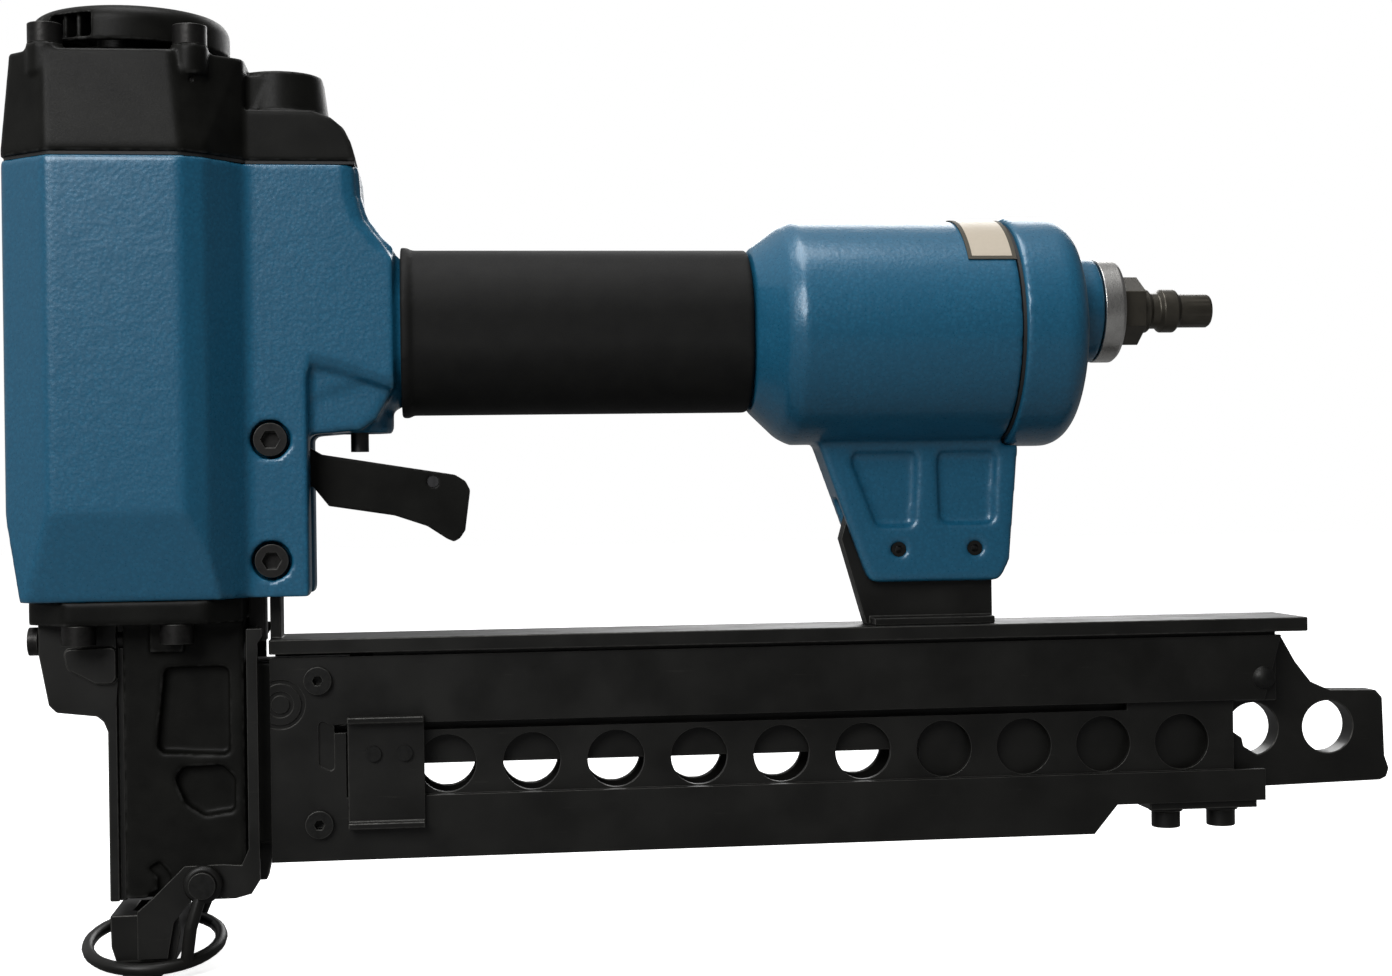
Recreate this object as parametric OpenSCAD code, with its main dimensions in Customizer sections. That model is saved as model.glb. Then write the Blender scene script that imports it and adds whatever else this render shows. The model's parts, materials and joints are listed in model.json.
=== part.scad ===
/*
Heavy pneumatic stapler with a vertical cylinder, a horizontal grip that ends in an air reservoir,
and a perforated magazine under the hand.
+X points to the rear, +Z up, and the left side is -Y. The origin is at the nose tip on the drive axis.
*/

/* [Body] */
// Distance from the drive axis to the front face of the cylinder block
block_front = 29.5; // [29:0.1:30]
// Half width of the cylinder block
block_half_w = 31; // [30:0.5:32]
// Corner chamfer of the cylinder block
block_chamfer = 11; // [9:0.5:12]
// Half width of the column behind the cylinder block
column_half_w = 17; // [16:0.5:18]
// Rear face of the lower column
column_rear = 44.8; // [44.6:0.1:45]

/* [Grip and reservoir] */
// Height of the rubber grip
grip_h = 43.5; // [42:0.5:45]
// Width of the rubber grip
grip_w = 36; // [34:0.5:38]
// Radius of the air reservoir
tank_r = 30; // [29:0.1:30.6]
// Wall of the air reservoir
tank_wall = 4; // [3:0.5:5]

/* [Cylinder] */
// Radius of the cylinder bore
bore_r = 18.5; // [18:0.1:18.7]
// Stroke of the piston
drive_stroke = 82; // [70:1:82]
// Width of the driver blade
blade_w = 11; // [10:0.5:11]
// Thickness of the driver blade
blade_t = 1.6; // [1.2:0.1:1.6]

/* [Cap] */
// Height of the cylinder cap
cap_h = 25.7; // [25:0.1:27]
// Radius of the exhaust deflector
deflector_r = 25; // [24:0.1:25.1]
// Number of ribs in the exhaust outlet
outlet_ribs = 2; // [1:1:4]

/* [Trigger] */
// Height of the trigger pivot above the nose tip
pivot_z = 136; // [135.5:0.1:136.5]
// Half width of the trigger
trigger_half_w = 5.6; // [5.4:0.1:5.7]

/* [Magazine] */
// Diameter of the round windows
window_d = 15; // [13:0.5:15.5]
// Distance between the round windows
window_pitch = 22.05; // [21.9:0.05:22.1]
// Outer half width of the side plates
plate_half_w = 10; // [9.8:0.1:10.2]
// Thickness of the guide rail
rail_t = 7; // [6.5:0.1:7]

/* [Hidden] */
$fn = 64;
e = 0.01;
fit = 0.05;
gap = 0.3;

// Heights of the casting
body_z0 = 96;
body_z1 = 206;
taper_z = 118;
taper_front = 3.9;
chamfer_lead = 1.5;
gasket_t = 0.8;
cap_z0 = body_z1 + gasket_t;
cap_z1 = cap_z0 + cap_h;
block_rear = 30;
block_flat_x = 15.6;
facet_x = 20.8;
facet_y = 3;

// Cylinder, bumper and head valve
deflector_z = cap_z1 + 3;
boss_x = 38;
boss_r = 11;
boss_z = 230.3;
sleeve_wall = 3;
sleeve_r = bore_r + sleeve_wall;
sleeve_z0 = 108;
sleeve_z1 = 202;
chamber_r = 23.8;
bumper_r = 17.8;
piston_z = sleeve_z0 + 1 + drive_stroke;
piston_h = 8;
blade_tip_z = 82.5;
valve_disc_z = 202.3;
valve_disc_h = 14;

// Grip, reservoir and inlet
grip_z = 164;
grip_x0 = 66;
grip_x1 = 160.5;
tank_z = 163.4;
tank_x0 = 171.4;
tank_x1 = 228.6;
end_cap_r = 31;
end_cap_x1 = 247.5;
inlet_z = 169.2;
inlet_r = 14.3;
inlet_x = 255.8;

// Fork under the reservoir
fork_half_w = 6.5;
tongue_t = 5;
fork_pin_x = [199.9, 220.8];
fork_pin_z = 105;
fork_pin_r = 2;

// Screws: [shaft radius, head radius, head height]
m5 = [2.5, 4.25, 5];
cap_screw_x = 17.5;
cap_screw_y = 24;
cap_seat_z = cap_z1 + 1.5;
cap_screw_len = 43.1;
flange_bolt_x = 12;
flange_bolt_y = 20;
column_screw_x = 35.3;
lower_screw_z = 105.2;

// Trigger group
pivot_x = column_screw_x;
stem_x = 57.2;
stem_r = 2.35;
stem_tip_z = 132.9;
bush_r = 6.5;
bush_z0 = 138.2;
bush_z1 = 170;
tappet_pin_x = 76.1;
tappet_pin_z = 124.9;
tappet_t = 3.6;

// Nose
flange_t = 6;
flange_z = body_z0 - flange_t;
channel_front = -1;
cheek_in = 5.9;
cheek_out = 13;
cheek_rear = 27.6;
cheek_front = -2.4;
cheek_z0 = 20;
plate_front = -6.4;
front_screw_z = 85.6;
arm_t = 1.8;
arm_in = cheek_out + 0.2;
foot_h = 16;
wire_r = 1.6;
contact_spring_x = 20.5;

// Magazine
mag_x0 = 33.8;
mag_z0 = 27.4;
plate_t = 1.6;
plate_top = 80;
band_z0 = 43.6;
band_z1 = 62.5;
band_half_w = 7.6;
band_x0 = 53;
band_x1 = 292;
window_z = 51.4;
window_x0 = 56.8;
window_count = 10;
rail_z0 = 81;
rail_z1 = 84.8;
rail_x1 = 311.8;
core_z0 = 51;
core_z1 = 79.5;
tail_window_x = [299.1, 320.7];
tail_window_z = 53.8;
pusher_x0 = 54;
pusher_len = 18;
handle_z0 = 35.8;
handle_z1 = 64.6;
handle_rivet_x = [60, 68];
handle_rivet_z = 55;
slot_z0 = 60.3;
slot_z1 = 62.2;
slot_x1 = 262;
roll_x = 48;
roll_z = 41;
roll_r = 5;
plate_screw_x = 46;
plate_screw_z = [37, 74];
rivet_x = 299.9;
rivet_z = 68.4;
stud_x = [275.2, 290.9];

// ---------- shared shapes ----------

// Prism whose outline is given in X and Z, centred on y = 0
module side_prism(points, half_w) {
    rotate([90, 0, 0]) linear_extrude(2 * half_w, center = true) polygon(points);
}

// Prism like side_prism with its corners rounded
module round_prism(points, half_w, corner_r) {
    rotate([90, 0, 0]) linear_extrude(2 * half_w, center = true)
        offset(r = corner_r, $fn = 24) offset(delta = -corner_r) polygon(points);
}

// Plate in X and Z between two distances from y = 0, on the side given by the sign
module side_plate(points, side, y0, y1) {
    y_low = side < 0 ? -y1 : y0;
    translate([0, y_low + (y1 - y0), 0]) rotate([90, 0, 0]) linear_extrude(y1 - y0) polygon(points);
}

// Box given by its low and high corners
module box(low, high) {
    translate(low) cube(high - low);
}

// Rod along +Y from y0 to y1
module rod_y(x, z, r, y0, y1) {
    translate([x, y0, z]) rotate([-90, 0, 0]) cylinder(r = r, h = y1 - y0);
}

// Rod along +X from x0 to x1
module rod_x(z, r, x0, x1, y = 0) {
    translate([x0, y, z]) rotate([0, 90, 0]) cylinder(r = r, h = x1 - x0);
}

// Bar along X with a section that is round above and below and straight at the sides
module oval_bar(x0, x1, half_h, half_w) {
    shift = half_h - half_w;
    for (dz = [-shift, shift])
        rod_x(grip_z + dz, half_w, x0, x1);
    box([x0, -half_w, grip_z - shift], [x1, half_w, grip_z + shift]);
}

// O-ring or wire ring round the Z axis
module ring(r, wire) {
    rotate_extrude() translate([r, 0]) circle(wire, $fn = 32);
}

// Socket-head screw pointing down -Z with its seat at z = 0
module socket_screw(size, shaft_len, socket = 2.4) {
    difference() {
        union() {
            cylinder(r = size[1], h = size[2]);
            translate([0, 0, -shaft_len]) cylinder(r = size[0], h = shaft_len + e);
        }
        translate([0, 0, size[2] - 2.6]) cylinder(r = socket, h = 3, $fn = 6);
    }
}

// Tube of a round wire along a list of points, closed at both ends
module wire(points, r, sides = 8) {
    n = len(points);
    dirs = [for (i = [0 : n - 1]) let (d = points[min(i + 1, n - 1)] - points[max(i - 1, 0)]) d / norm(d)];
    ring_points = [
        for (i = [0 : n - 1])
            let (
                side_raw = cross(dirs[i], abs(dirs[i][2]) > 0.9 ? [1, 0, 0] : [0, 0, 1]),
                u = side_raw / norm(side_raw),
                v = cross(dirs[i], u)
            )
            for (k = [0 : sides - 1])
                points[i] + r * (cos(360 * k / sides) * u + sin(360 * k / sides) * v)
    ];
    walls = [
        for (i = [0 : n - 2])
            for (k = [0 : sides - 1])
                let (a = i * sides + k, b = i * sides + (k + 1) % sides)
                [b, a, a + sides, b + sides]
    ];
    ends = [[for (k = [0 : sides - 1]) k], [for (k = [sides - 1 : -1 : 0]) (n - 1) * sides + k]];
    polyhedron(ring_points, concat(walls, ends), convexity = 4);
}

// Compression spring standing on z = 0
module coil_spring(r, wire_r, turns, height) {
    steps = 14;
    wire([
        for (i = [0 : turns * steps])
            let (a = 360 * i / steps, lift = wire_r + (height - 2 * wire_r) * i / (turns * steps))
            [r * cos(a), r * sin(a), lift]
    ], wire_r, 6);
}

// Outline of the cylinder block seen from above
module block_outline(grow = 0, chamfer = block_chamfer) {
    front = -block_front - grow;
    w = block_half_w + grow;
    offset(r = 3, $fn = 24) offset(delta = -3) polygon([
        [front, chamfer - w], [front + chamfer + chamfer_lead, -w], [block_flat_x + grow, -w], [facet_x + grow, facet_y - w],
        [block_rear, -column_half_w], [block_rear, column_half_w], [facet_x + grow, w - facet_y],
        [block_flat_x + grow, w],
        [front + chamfer + chamfer_lead, w], [front, w - chamfer]
    ]);
}

// ---------- casting ----------

// Slanted planes that narrow the block towards its bottom face
module block_taper_cuts() {
    side_prism([
        [-block_front - 9, taper_z], [-block_front, taper_z], [-block_front + taper_front, body_z0 - e],
        [-block_front - 9, body_z0 - e]
    ], 40);
    for (side = [-1, 1])
        translate([-40, 0, 0]) rotate([90, 0, 90]) linear_extrude(70) polygon([
            [side * 45, taper_z], [side * block_half_w, taper_z],
            [side * (block_half_w - 6), body_z0 - e], [side * 45, body_z0 - e]
        ]);
}

// Column behind the block and the web that carries the grip
module column_solid() {
    box([26, -column_half_w, body_z0], [column_rear, column_half_w, body_z1]);
    round_prism([
        [30, body_z1], [58.4, body_z1], [58.9, 198], [60.6, 192.6], [64.4, 187.4], [67, 185.2],
        [67, 150], [62, 141], [58, 138.2], [44, 137.2], [30, 137.2]
    ], 13.5, 0.9);
    // Side faces of the neck, rounded towards the rear and ended by a ledge over the valve housing
    for (layer = [[15.6, 1.2], [16.5, 2.4], [column_half_w, 4]])
        round_prism([
            [30, body_z1], [58.4 - layer[1], body_z1], [58.9 - layer[1], 198], [60.6 - layer[1], 192], [66.4 - layer[1], 184.6],
            [66.8, 182], [66.8, 147 + layer[1]], [54, 151.5 + layer[1]], [45.4, 153.6 + layer[1]], [column_rear, 150], [30, 150]
        ], layer[0], 0.9);
    translate([stem_x, 0, 137.7]) cylinder(r = 9, h = 20);
}

// Neck, grip core, flare, reservoir shell
module handle_solid() {
    hull() {
        oval_bar(grip_x0 + 1, grip_x0 + 2, 20, 15, $fn = 32);
        box([44, -14, 147], [46, 14, 188]);
    }
    oval_bar(grip_x0, grip_x1 + 1, 19, 15);
    hull() {
        oval_bar(grip_x1, grip_x1 + 0.5, grip_h / 2, grip_w / 2, $fn = 32);
        rod_x(tank_z, tank_r - 1.8, tank_x0 - 3.4, tank_x0, $fn = 64);
        rod_x(tank_z, tank_r, tank_x0, tank_x0 + 0.5, $fn = 64);
    }
    rod_x(tank_z, tank_r, tank_x0, tank_x1);
}

// Fork that carries the rear bracket of the magazine
module fork_solid() {
    round_prism([
        [177.1, 140], [178.6, 133], [189.6, 102.3], [192, 96.2], [227.6, 96.2], [230.4, 101.6],
        [233.2, 133], [233.2, 140]
    ], fork_half_w, 3);
}

module fork_cuts() {
    box([170, -tongue_t / 2 - 0.05, 90], [240, tongue_t / 2 + 0.05, 119]);
    for (side = [-1, 1])
        for (pocket = [
            [[186, 131.5], [205.4, 131.5], [204.4, 111], [193.8, 111]],
            [[210.6, 131.5], [227.2, 131.5], [226.3, 111.5], [211, 111.5]]
        ])
            translate([0, side * fork_half_w, 0]) round_prism(pocket, 2, 2.4);
    for (x = fork_pin_x)
        rod_y(x, fork_pin_z, fork_pin_r, -10, 10);
}

module body_casting() {
    color([0.16, 0.37, 0.5]) difference() {
        union() {
            difference() {
                translate([0, 0, body_z0]) linear_extrude(body_z1 - body_z0) block_outline();
                block_taper_cuts();
            }
            column_solid();
            handle_solid();
            fork_solid();
        }
        // Bumper pocket, sleeve seat and air chamber
        translate([0, 0, body_z0 - e]) cylinder(r = bumper_r + 0.2, h = 20);
        translate([0, 0, sleeve_z0]) cylinder(r = sleeve_r + fit, h = 110);
        translate([0, 0, 126]) cylinder(r = chamber_r, h = 90);
        // Air passage through the grip and the reservoir space
        rod_x(grip_z, 10, 10, tank_x0 + 10);
        rod_x(tank_z, tank_r - tank_wall, tank_x0 + 4, tank_x1 + 1);
        // Slot for the trigger hub and the contact arm
        box([27.8, -6, body_z0 - e], [50, 6, 143]);
        // Trigger valve bore
        translate([stem_x, 0, 130]) cylinder(r = bush_r, h = 42);
        // Column screws with their counterbores
        for (z = [pivot_z, lower_screw_z]) {
            rod_y(column_screw_x, z, m5[0], -20, 20);
            rod_y(column_screw_x, z, 5, -20, m5[2] - column_half_w);
        }
        // Cap screws and flange bolts
        for (sx = [-1, 1])
            for (sy = [-1, 1]) {
                translate([sx * cap_screw_x, sy * cap_screw_y, 190]) cylinder(r = m5[0], h = 20);
                translate([sx * flange_bolt_x, sy * flange_bolt_y, 90]) cylinder(r = m5[0], h = 18);
            }
        fork_cuts();
        rod_x(tank_z, end_cap_r + gap, tank_x1, 240);
    }
}

// ---------- cap and deflector ----------

// Rear lobe of the cap over the column: a shelf with a round boss on it
module cap_rear_lobe() {
    round_prism([
        [15, cap_z0], [57.9, cap_z0], [56.6, 211.5], [54.8, 215.2], [51.4, 218], [47, 219.6], [15, 219.6]
    ], column_half_w, 0.6);
    for (side = [-1, 1])
        translate([boss_x, side * 3, cap_z0]) cylinder(r1 = boss_r + 3, r2 = boss_r, h = boss_z - cap_z0);
    box([10, -boss_r - 3, cap_z0], [boss_x, boss_r + 3, boss_z - 1.5]);
    box([boss_x, -3, cap_z0], [boss_x + boss_r, 3, boss_z]);
}

module cylinder_cap() {
    color([0.11, 0.11, 0.11]) difference() {
        union() {
            hull() {
                translate([0, 0, cap_z0]) linear_extrude(2) block_outline();
                translate([0, 0, cap_z1 - 1]) linear_extrude(1) block_outline(-2.5, 8);
            }
            cap_rear_lobe();
            translate([0, 0, cap_z1 - e]) cylinder(r = 21, h = 2);
            for (sx = [-1, 1])
                for (sy = [-1, 1])
                    translate([sx * cap_screw_x, sy * cap_screw_y, cap_z1 - 6])
                        cylinder(r = 4.6, h = cap_seat_z - cap_z1 + 6);
        }
        // Head valve bore and exhaust outlets
        translate([0, 0, cap_z0 - e]) cylinder(r = 21, h = 19);
        for (a = [0 : 60 : 300])
            rotate(a) translate([17.2, 0, cap_z0]) cylinder(r = 2.8, h = 40);
        translate([0, 0, cap_z0]) cylinder(r = 2.5, h = 40);
        box([30, -8, cap_z0 - e], [44, 8, 218]);
        for (sx = [-1, 1])
            for (sy = [-1, 1])
                translate([sx * cap_screw_x, sy * cap_screw_y, cap_z0 - e]) cylinder(r = m5[0], h = 30);
    }
}

module cap_gasket() {
    color([0.05, 0.05, 0.05]) translate([0, 0, body_z1]) difference() {
        union() {
            linear_extrude(gasket_t) block_outline(-0.6);
            translate([20, -column_half_w + 0.6, 0]) cube([37.4, 2 * column_half_w - 1.2, gasket_t]);
        }
        translate([0, 0, -e]) cylinder(r = chamber_r, h = 2);
        box([30, -8, -e], [44, 8, 2]);
        for (sx = [-1, 1])
            for (sy = [-1, 1])
                translate([sx * cap_screw_x, sy * cap_screw_y, -e]) cylinder(r = m5[0], h = 2);
    }
}

module cap_screws() {
    color([0.09, 0.09, 0.09])
        for (sx = [-1, 1])
            for (sy = [-1, 1])
                translate([sx * cap_screw_x, sy * cap_screw_y, cap_seat_z]) socket_screw(m5, cap_screw_len);
}

// Round hood that turns the exhaust air away from the hand
module exhaust_deflector() {
    h = 9.2;
    shoulder = 4;
    outlet_angle = 30;
    color([0.1, 0.1, 0.1]) {
        difference() {
            translate([0, 0, deflector_z]) rotate_extrude() difference() {
                union() {
                    translate([3.1, -0.7]) square([10.9, h - 1.9]);
                    translate([7.4, h - 3]) square([deflector_r - shoulder - 7.4, 3]);
                    translate([3.1, 3]) square([deflector_r - shoulder - 3.1, h - 5.6]);
                    square([deflector_r, h - shoulder]);
                    translate([deflector_r - shoulder, h - shoulder]) circle(shoulder, $fn = 40);
                }
                translate([14, -1]) square([deflector_r - 16.2, 6]);
                translate([-1, -2]) square([4.1, 20]);
            }
            // Outlet through the front left of the rim
            translate([0, 0, deflector_z + 1])
                rotate_extrude(angle = outlet_angle, start = 225) translate([15, 0]) square([12, 6]);
        }
        for (i = [1 : outlet_ribs])
            rotate(225 + i * outlet_angle / (outlet_ribs + 1))
                translate([deflector_r - 9, -0.6, deflector_z]) cube([7.5, 1.2, 6.4]);
    }
}

module deflector_screw() {
    color([0.3, 0.3, 0.3]) translate([0, 0, deflector_z + 6.7]) difference() {
        union() {
            cylinder(r = 6.4, h = 2.4);
            translate([0, 0, -20]) cylinder(r = m5[0], h = 20 + e);
        }
        translate([-5, -0.7, 1.3]) cube([10, 1.4, 2]);
    }
}

// ---------- drive train ----------

module cylinder_sleeve() {
    color([0.75, 0.75, 0.77]) difference() {
        translate([0, 0, sleeve_z0]) cylinder(r = sleeve_r, h = sleeve_z1 - sleeve_z0);
        translate([0, 0, sleeve_z0 - 1]) cylinder(r = bore_r, h = 110);
        for (z = [112, 120])
            translate([0, 0, z]) rotate_extrude() translate([sleeve_r - 1.2, -1]) square([2, 2]);
        for (a = [0 : 45 : 315])
            rotate(a) translate([sleeve_r - 5, 0, 132]) rotate([0, 90, 0]) cylinder(r = 1.5, h = 8);
    }
}

module sleeve_seals() {
    color([0.05, 0.05, 0.05])
        for (z = [112, 120])
            translate([0, 0, z]) ring(sleeve_r - 0.45, 0.45);
}

module rubber_bumper() {
    color([0.12, 0.1, 0.09]) translate([0, 0, body_z0]) rotate_extrude() polygon([
        [7.5, 0], [bumper_r, 0], [bumper_r, 11.6], [13, 11.6], [11.5, 11], [7.5, 9]
    ]);
}

module piston() {
    color([0.7, 0.7, 0.72]) translate([0, 0, piston_z]) difference() {
        union() {
            cylinder(r = bore_r - fit, h = piston_h);
            translate([0, 0, -9]) cylinder(r = 6, h = 10);
        }
        translate([0, 0, piston_h / 2 - 1.5]) rotate_extrude() translate([bore_r - 2.6, 0]) square([4, 3]);
        translate([0, 0, piston_h - 3]) cylinder(r = 9, h = 4);
        translate([-blade_t / 2, -blade_w / 2, -9 - e]) cube([blade_t, blade_w, 8]);
    }
}

module piston_ring() {
    color([0.06, 0.06, 0.06]) translate([0, 0, piston_z + piston_h / 2]) ring(bore_r - 1.4, 1.2);
}

module driver_blade() {
    color([0.6, 0.6, 0.62])
        translate([-blade_t / 2, -blade_w / 2, blade_tip_z]) cube([blade_t, blade_w, piston_z - 1.5 - blade_tip_z]);
}

module head_valve() {
    color([0.8, 0.78, 0.7]) translate([0, 0, valve_disc_z]) difference() {
        cylinder(r = 20.9, h = valve_disc_h);
        translate([0, 0, -1]) cylinder(r = 15, h = 20);
        translate([0, 0, 8]) rotate_extrude() translate([19.5, -1]) square([2, 2]);
    }
}

module head_valve_ring() {
    color([0.05, 0.05, 0.05]) translate([0, 0, valve_disc_z + 8]) ring(20.2, 0.65);
}

module head_spring() {
    z = valve_disc_z + valve_disc_h + 0.2;
    color([0.6, 0.6, 0.6]) translate([0, 0, z]) coil_spring(18, 0.9, 3, cap_z0 + 18.9 - z);
}

// ---------- grip and reservoir ----------

module grip_sleeve() {
    color([0.06, 0.06, 0.06]) difference() {
        union() {
            oval_bar(grip_x0 + 2.4, grip_x1 - 0.5, grip_h / 2, grip_w / 2);
            oval_bar(grip_x0 + 2.4, grip_x0 + 4.4, grip_h / 2 + 0.7, grip_w / 2 + 0.7);
        }
        oval_bar(grip_x0 - 5, grip_x1 + 5, 19, 15);
    }
}

module end_cap() {
    corner = 7;
    color([0.16, 0.37, 0.5]) difference() {
        union() {
            translate([tank_x1 + 0.8, 0, tank_z]) rotate([0, 90, 0]) rotate_extrude() union() {
                square([end_cap_r, end_cap_x1 - tank_x1 - 0.8 - corner]);
                translate([0, 4]) square([end_cap_r - corner, end_cap_x1 - tank_x1 - 4.8]);
                intersection() {
                    translate([end_cap_r - corner, end_cap_x1 - tank_x1 - 0.8 - corner]) circle(corner);
                    translate([0, 2]) square([end_cap_r, 40]);
                }
            }
            rod_x(inlet_z, inlet_r, end_cap_x1 - 3, inlet_x);
        }
        rod_x(tank_z, tank_r - tank_wall, tank_x1 - 1, end_cap_x1 - 6);
        rod_x(inlet_z, 9, end_cap_x1 - 10, inlet_x + 1);
    }
}

module end_cap_seal() {
    color([0.05, 0.05, 0.05]) translate([tank_x1, 0, tank_z]) rotate([0, 90, 0]) difference() {
        cylinder(r = tank_r - 0.4, h = 0.8);
        translate([0, 0, -e]) cylinder(r = tank_r - tank_wall, h = 1);
    }
}

module inlet_bushing() {
    color([0.8, 0.8, 0.82]) translate([inlet_x, 0, inlet_z]) rotate([0, 90, 0]) difference() {
        union() {
            rotate_extrude() polygon([[0, 0], [14.1, 0], [14.1, 5], [13.2, 6], [0, 6]]);
            translate([0, 0, -8]) cylinder(r = 9 - e, h = 8 + e);
        }
        translate([0, 0, -9]) cylinder(r = 5, h = 16);
    }
}

// Quick-connect plug with its hexagon
module air_plug() {
    color([0.13, 0.12, 0.11]) translate([inlet_x + 6, 0, inlet_z]) rotate([0, 90, 0]) difference() {
        union() {
            cylinder(r = 9.4, h = 7.2, $fn = 6);
            translate([0, 0, -12]) cylinder(r = 5 - e, h = 12 + e);
            rotate_extrude() polygon([
                [0, 7], [6, 7], [6, 9.4], [4.9, 10.4], [4.9, 12.4], [5.95, 13.4], [5.95, 17.2], [4.6, 18.4],
                [4.6, 26.6], [4.1, 27.4], [0, 27.4]
            ]);
        }
        translate([0, 0, -13]) cylinder(r = 3, h = 50);
    }
}

// Blank plate bent round the reservoir
module label_plate() {
    color([0.8, 0.74, 0.62]) translate([215.2, 0, tank_z]) rotate([0, 90, 0])
        rotate_extrude(angle = 53, start = 182) translate([tank_r, 0]) square([0.5, 13.2]);
}

// ---------- trigger group ----------

module valve_bush() {
    color([0.75, 0.65, 0.35]) translate([stem_x, 0, bush_z0]) difference() {
        cylinder(r = bush_r - e, h = bush_z1 - bush_z0);
        translate([0, 0, -1]) cylinder(r = stem_r + fit, h = 14);
        translate([0, 0, 12]) cylinder(r = 4.2, h = bush_z1 - bush_z0 - 14);
        for (z = [5, 16])
            translate([0, 0, z]) rotate_extrude() translate([bush_r - 1.6, -1]) square([2, 2]);
    }
}

module valve_seals() {
    color([0.05, 0.05, 0.05])
        for (z = [5, 16])
            translate([stem_x, 0, bush_z0 + z]) ring(bush_r - 0.8, 0.75);
}

module valve_stem() {
    color([0.25, 0.25, 0.25]) translate([stem_x, 0, 0]) {
        translate([0, 0, stem_tip_z]) cylinder(r = stem_r, h = bush_z0 + 14 - stem_tip_z);
        translate([0, 0, bush_z0 + 12.3]) cylinder(r = 3.8, h = 5);
    }
}

module valve_spring() {
    z = bush_z0 + 17.5;
    color([0.6, 0.6, 0.6]) translate([stem_x, 0, z]) coil_spring(3, 0.45, 4, bush_z1 - 2 - z);
}

module trigger_screws() {
    color([0.09, 0.09, 0.09])
        for (z = [pivot_z, lower_screw_z])
            translate([column_screw_x, m5[2] - column_half_w, z]) rotate([90, 0, 0]) socket_screw(m5, 27);
}

// Finger lever with an open channel for the tappet and the valve stem
module trigger() {
    color([0.09, 0.09, 0.09]) difference() {
        union() {
            rod_y(pivot_x, pivot_z, 4.4, -trigger_half_w, trigger_half_w);
            side_prism([
                [pivot_x + 1, pivot_z + 4.2], [pivot_x + 4.2, pivot_z + 1], [47.3, 132.3], [60, 130.2], [81.9, 126.6],
                [84.6, 124.9], [85.8, 122.5], [84.4, 112], [83, 109.9], [81.4, 109], [79.6, 109.8],
                [74.5, 113.2], [66.1, 116.1], [49.2, 118.8], [44, 125.4], [pivot_x - 2, pivot_z - 3.8]
            ], trigger_half_w);
        }
        rod_y(pivot_x, pivot_z, m5[0] + fit, -10, 10);
        // Room for the return spring beside the hub
        rod_y(pivot_x, pivot_z, 4.5, 4.2, 7);
        rod_y(pivot_x, pivot_z, 4.5, -7, -4.2);
        box([41, -2.9, 121.8], [80, 2.9, 140]);
        box([25, -2.9, 121.8], [42, 2.9, 131.3]);
        rod_y(tappet_pin_x, tappet_pin_z, 1.5, -10, 10);
    }
}

module tappet_pin() {
    color([0.5, 0.5, 0.5]) rod_y(tappet_pin_x, tappet_pin_z, 1.5, -trigger_half_w + 0.4, trigger_half_w - 0.4);
}

// Inner lever between the contact arm and the valve stem
module trigger_tappet() {
    color([0.45, 0.45, 0.47]) difference() {
        union() {
            rod_y(tappet_pin_x, tappet_pin_z, 2.6, -tappet_t / 2, tappet_t / 2);
            side_prism([
                [28.6, 124.6], [tappet_pin_x, 122.5], [tappet_pin_x, 127.4], [60, 127.8], [44, 127], [28.6, 126.2]
            ], tappet_t / 2);
        }
        rod_y(tappet_pin_x, tappet_pin_z, 1.5 + fit, -10, 10);
    }
}

module trigger_spring() {
    color([0.6, 0.6, 0.6])
        for (side = [-1, 1])
            translate([pivot_x, side * 5, pivot_z]) rotate([90, 0, 0]) ring(3.4, 0.45);
}

// ---------- nose ----------

module nose_base() {
    color([0.1, 0.1, 0.1]) difference() {
        union() {
            translate([0, 0, flange_z]) linear_extrude(flange_t) offset(r = 4, $fn = 24) offset(delta = -4) polygon([
                [-25.4, -14], [-15, -24.4], [20, -24.4], [28, -16.5], [28, 16.5], [20, 24.4], [-15, 24.4], [-25.4, 14]
            ]);
            for (side = [-1, 1]) {
                // Cheek beside the staple channel
                side_plate([
                    [cheek_front, flange_z + e], [cheek_rear, flange_z + e], [cheek_rear, 27], [24, cheek_z0],
                    [cheek_front, cheek_z0]
                ], side, cheek_in, cheek_out);
                // Lug that the magazine side plate is screwed to
                side_plate([[cheek_rear - 1, 32], [50, 32], [50, 79], [cheek_rear - 1, 79]], side, cheek_in, 8.3);
                // Rounded boss under the flange
                side_plate([[4.5, 82.5], [13, 82.5], [13, 91], [4.5, 91]], side, cheek_out - 1, cheek_out + 2.2);
            }
        }
        box([-1.2, -6.4, flange_z - 1], [1.2, 6.4, body_z0 + 1]);
        for (side = [-1, 1]) {
            // Lightening pockets in the outer face of the cheek
            translate([0, side * cheek_out, 0]) {
                round_prism([[5.6, 57], [24, 55.8], [24, 78.5], [7.8, 78.5], [7.4, 74]], 3, 1.8);
                round_prism([[10, 50], [12.6, 43.8], [17.2, 40.5], [25.2, 41.5], [25.2, 50], [22, 53.4], [12, 53]], 3, 1.6);
                round_prism([[3, 18], [8, 18], [9, 25.5], [6, 29.5], [3, 27.5], [5.4, 25.5], [5.4, 22], [3, 21]], 1.5, 0.5);
            }
            for (x = [-flange_bolt_x, flange_bolt_x])
                translate([x, side * flange_bolt_y, flange_z - 1]) cylinder(r = m5[0], h = flange_t + 2);
            for (z = plate_screw_z)
                rod_y(plate_screw_x, z, 2, min(side * 5, side * 12), max(side * 5, side * 12));
            rod_x(front_screw_z, m5[0], -10, 10, y = side * 9.4);
            rod_x(34, 1.5, -10, 6, y = side * 9.4);
        }
    }
}

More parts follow.
